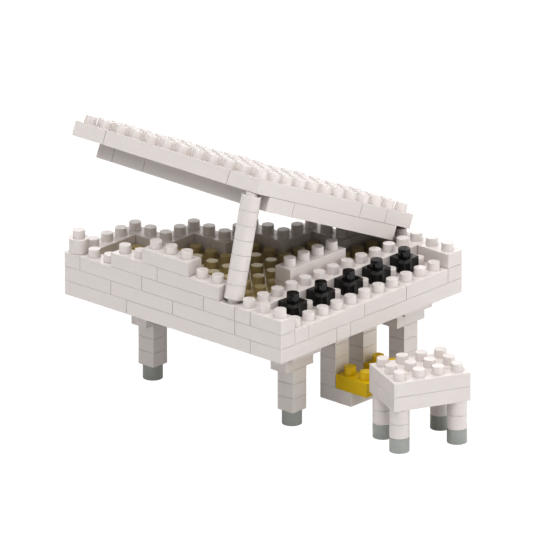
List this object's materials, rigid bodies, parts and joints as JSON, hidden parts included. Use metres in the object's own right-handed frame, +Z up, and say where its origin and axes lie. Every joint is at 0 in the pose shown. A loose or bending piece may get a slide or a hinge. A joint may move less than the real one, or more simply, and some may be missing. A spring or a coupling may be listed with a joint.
{
  "type": "miniature grand piano",
  "caption": "Miniature grand piano with open propped lid, three legs, pedal lyre and a bench, built up from small white studded toy bricks.",
  "frame": {"origin": "middle of the whole set's footprint, on the surface it stands on", "axes": "+Z up, -Y towards the player and the bench, +X towards the treble end of the keyboard"},
  "size_m": [0.052, 0.0846, 0.0511],
  "materials": {
    "white_plastic": "glossy moulded",
    "tan_plastic": "glossy moulded",
    "black_plastic": "glossy moulded",
    "yellow_plastic": "glossy moulded",
    "gray_plastic": "glossy moulded"
  },
  "bodies": {
    "piano": {"case_floor": "white_plastic", "case_key_bed": "white_plastic", "case_side_near": "white_plastic", "case_side_bent": "white_plastic", "cheek_left": "white_plastic", "cheek_right": "white_plastic", "fallboard_row": "white_plastic", "rim_near_side": "white_plastic", "rim_bent_side": "white_plastic", "rim_tail": "white_plastic", "near_wall_fourth": "white_plastic", "near_wall_fifth": "white_plastic", "tail_cap_round": "white_plastic", "music_desk_lower": "white_plastic", "music_desk_upper": "white_plastic", "soundboard": "tan_plastic", "black_key_1": "black_plastic", "black_key_2": "black_plastic", "black_key_3": "black_plastic", "black_key_4": "black_plastic", "black_key_5": "black_plastic", "leg_front_left_collar_upper": "white_plastic", "leg_front_left_collar_lower": "white_plastic", "leg_front_left_post": "white_plastic", "leg_front_left_foot": "gray_plastic", "leg_front_right_collar_upper": "white_plastic", "leg_front_right_collar_lower": "white_plastic", "leg_front_right_post": "white_plastic", "leg_front_right_foot": "gray_plastic", "leg_tail_collar_upper": "white_plastic", "leg_tail_collar_lower": "white_plastic", "leg_tail_post": "white_plastic", "leg_tail_foot": "gray_plastic", "lyre_base": "white_plastic", "lyre_post_1": "white_plastic", "lyre_post_2": "white_plastic", "pedal_1": "yellow_plastic", "pedal_2": "yellow_plastic"},
    "lid": {"lid_top_front": "white_plastic", "lid_top_middle": "white_plastic", "lid_top_tail": "white_plastic", "lid_under_front": "white_plastic", "lid_under_rear": "white_plastic"},
    "prop_stick": {"prop_round_1": "white_plastic", "prop_round_2": "white_plastic", "prop_round_3": "white_plastic", "prop_round_4": "white_plastic", "prop_round_5": "white_plastic", "prop_round_6": "white_plastic", "prop_round_7": "white_plastic"},
    "bench": {"bench_seat_upper": "white_plastic", "bench_seat_lower": "white_plastic", "bench_post_1": "white_plastic", "bench_post_2": "white_plastic", "bench_post_3": "white_plastic", "bench_post_4": "white_plastic", "bench_foot_1": "gray_plastic", "bench_foot_2": "gray_plastic", "bench_foot_3": "gray_plastic", "bench_foot_4": "gray_plastic"}
  },
  "joints": [
    {"name": "lid_hinge", "type": "hinge", "parent": "piano", "child": "lid", "pos_m": [0.02433, 0.01832, 0.0278], "axis": [0, 1, 0], "range_deg": [0, 66]},
    {"name": "prop_pivot", "type": "hinge", "parent": "piano", "child": "prop_stick", "pos_m": [-0.02394, -0.00368, 0.02672], "axis": [0, 1, 0], "range_deg": [-14.3, 0]},
    {"name": "bench_push", "type": "slide", "parent": "piano", "child": "bench", "axis": [0, 1, 0], "range_m": [-0.016, 0.003]}
  ]
}
